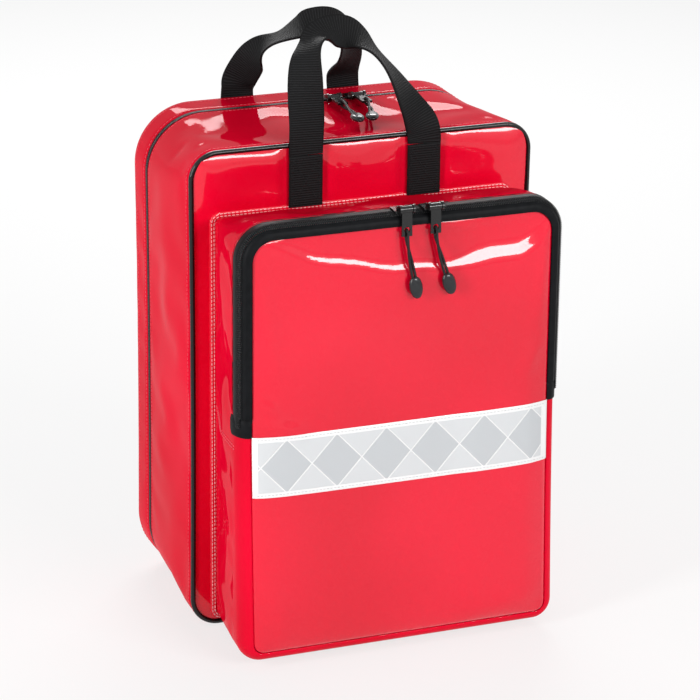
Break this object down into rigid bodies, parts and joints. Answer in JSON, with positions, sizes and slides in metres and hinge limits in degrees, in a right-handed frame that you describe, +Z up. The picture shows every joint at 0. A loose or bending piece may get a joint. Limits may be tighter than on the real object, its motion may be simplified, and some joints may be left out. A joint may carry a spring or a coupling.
{
  "type": "trauma backpack",
  "caption": "Boxy soft backpack in coated tarpaulin with a zip-round lid, a zipped front pocket, reflective tape, webbing carry handles and padded shoulder straps.",
  "frame": {"origin": "middle of the box's bottom, at the level the pack stands on", "axes": "+Z up, -Y out of the front pocket, +X to the right of someone facing the front"},
  "size_m": [0.29, 0.3024, 0.4922],
  "materials": {
    "tarpaulin": "glossy coated tarpaulin",
    "lining": "woven polyester lining over board",
    "piping": "glossy extruded piping",
    "zip_tape": "woven zip tape",
    "zip_coil": "nylon coil",
    "reflective": "retroreflective woven tape",
    "webbing": "ribbed polypropylene webbing",
    "slider_metal": "black gloss enamel on zinc",
    "pull_cord": "braided cord",
    "pull_grip": "moulded grip",
    "padding": "spacer mesh over foam",
    "buckle": "moulded acetal"
  },
  "bodies": {
    "tray": {"rear_shell": "tarpaulin", "back_board": "lining", "rear_zip_tape": "zip_tape", "rear_zip_coil": "zip_coil", "bottom_hinge_strip": "tarpaulin", "rear_handle_feet": "webbing", "back_pad_left": "padding", "back_pad_right": "padding", "lumbar_pad": "padding", "strap_yoke": "webbing", "strap_tab_left": "webbing", "strap_tab_right": "webbing"},
    "lid": {"front_gusset": "tarpaulin", "front_panel": "tarpaulin", "front_piping": "piping", "front_board": "lining", "shelf_lower": "lining", "shelf_upper": "lining", "front_zip_tape": "zip_tape", "front_zip_coil": "zip_coil", "pocket_gusset": "tarpaulin", "pocket_flange": "tarpaulin", "pocket_face": "tarpaulin", "pocket_zip_tape_outer": "zip_tape", "pocket_zip_coil_outer": "zip_coil", "reflective_tape": "reflective", "zip_end_tab_left": "webbing", "zip_end_tab_right": "webbing", "front_handle_feet": "webbing"},
    "flap": {"pocket_flap": "tarpaulin", "pocket_zip_tape_inner": "zip_tape", "pocket_zip_coil_inner": "zip_coil"},
    "front_loop": {"front_handle": "webbing"},
    "rear_loop": {"rear_handle": "webbing"},
    "strap_left": {"shoulder_strap_left": "padding", "strap_buckle_left": "buckle", "strap_webbing_left": "webbing"},
    "strap_right": {"shoulder_strap_right": "padding", "strap_buckle_right": "buckle", "strap_webbing_right": "webbing"},
    "main_slider_left": {"main_slider_left": "slider_metal"},
    "main_pull_left": {"main_pull_tab_left": "slider_metal", "main_pull_cord_left": "pull_cord", "main_pull_tip_left": "pull_grip"},
    "main_slider_right": {"main_slider_right": "slider_metal"},
    "main_pull_right": {"main_pull_tab_right": "slider_metal", "main_pull_cord_right": "pull_cord", "main_pull_tip_right": "pull_grip"},
    "pocket_slider_left": {"pocket_slider_left": "slider_metal"},
    "pocket_pull_left": {"pocket_pull_tab_left": "slider_metal", "pocket_pull_cord_left": "pull_cord", "pocket_pull_tip_left": "pull_grip"},
    "pocket_slider_right": {"pocket_slider_right": "slider_metal"},
    "pocket_pull_right": {"pocket_pull_tab_right": "slider_metal", "pocket_pull_cord_right": "pull_cord", "pocket_pull_tip_right": "pull_grip"}
  },
  "joints": [
    {"name": "lid_hinge", "type": "hinge", "parent": "tray", "child": "lid", "pos_m": [0, 0.05485, 0], "axis": [1, 0, 0], "range_deg": [0, 170]},
    {"name": "flap_hinge", "type": "hinge", "parent": "lid", "child": "flap", "pos_m": [0, -0.14495, 0.211], "axis": [1, 0, 0], "range_deg": [0, 150]},
    {"name": "front_handle_fold", "type": "hinge", "parent": "lid", "child": "front_loop", "pos_m": [0, -0.05735, 0.39175], "axis": [1, 0, 0], "range_deg": [0, 88]},
    {"name": "rear_handle_fold", "type": "hinge", "parent": "tray", "child": "rear_loop", "pos_m": [0, 0.09305, 0.39575], "axis": [1, 0, 0], "range_deg": [-88, 0]},
    {"name": "strap_swing_left", "type": "hinge", "parent": "tray", "child": "strap_left", "pos_m": [-0.108, 0.09715, 0.032], "axis": [0.1711, 0, 0.9853], "range_deg": [-12, 12]},
    {"name": "strap_swing_right", "type": "hinge", "parent": "tray", "child": "strap_right", "pos_m": [0.108, 0.09715, 0.032], "axis": [-0.1711, 0, 0.9853], "range_deg": [-12, 12]},
    {"name": "main_slider_left_slide", "type": "slide", "parent": "tray", "child": "main_slider_left", "axis": [1, 0, 0], "range_m": [-0.1, 0]},
    {"name": "main_pull_left_swing", "type": "hinge", "parent": "main_slider_left", "child": "main_pull_left", "pos_m": [0.013, 0.04535, 0.4058], "axis": [1, 0, 0], "range_deg": [-60, 0]},
    {"name": "main_slider_right_slide", "type": "slide", "parent": "tray", "child": "main_slider_right", "axis": [1, 0, 0], "range_m": [0, 0.055]},
    {"name": "main_pull_right_swing", "type": "hinge", "parent": "main_slider_right", "child": "main_pull_right", "pos_m": [0.034, 0.04535, 0.4058], "axis": [1, 0, 0], "range_deg": [-60, 0]},
    {"name": "pocket_slider_left_slide", "type": "slide", "parent": "flap", "child": "pocket_slider_left", "axis": [1, 0, 0], "range_m": [-0.09, 0]},
    {"name": "pocket_pull_left_swing", "type": "hinge", "parent": "pocket_slider_left", "child": "pocket_pull_left", "pos_m": [0, -0.14665, 0.3698], "axis": [1, 0, 0], "range_deg": [-120, 0]},
    {"name": "pocket_slider_right_slide", "type": "slide", "parent": "flap", "child": "pocket_slider_right", "axis": [1, 0, 0], "range_m": [0, 0.07]},
    {"name": "pocket_pull_right_swing", "type": "hinge", "parent": "pocket_slider_right", "child": "pocket_pull_right", "pos_m": [0.024, -0.14665, 0.3698], "axis": [1, 0, 0], "range_deg": [-120, 0]}
  ]
}
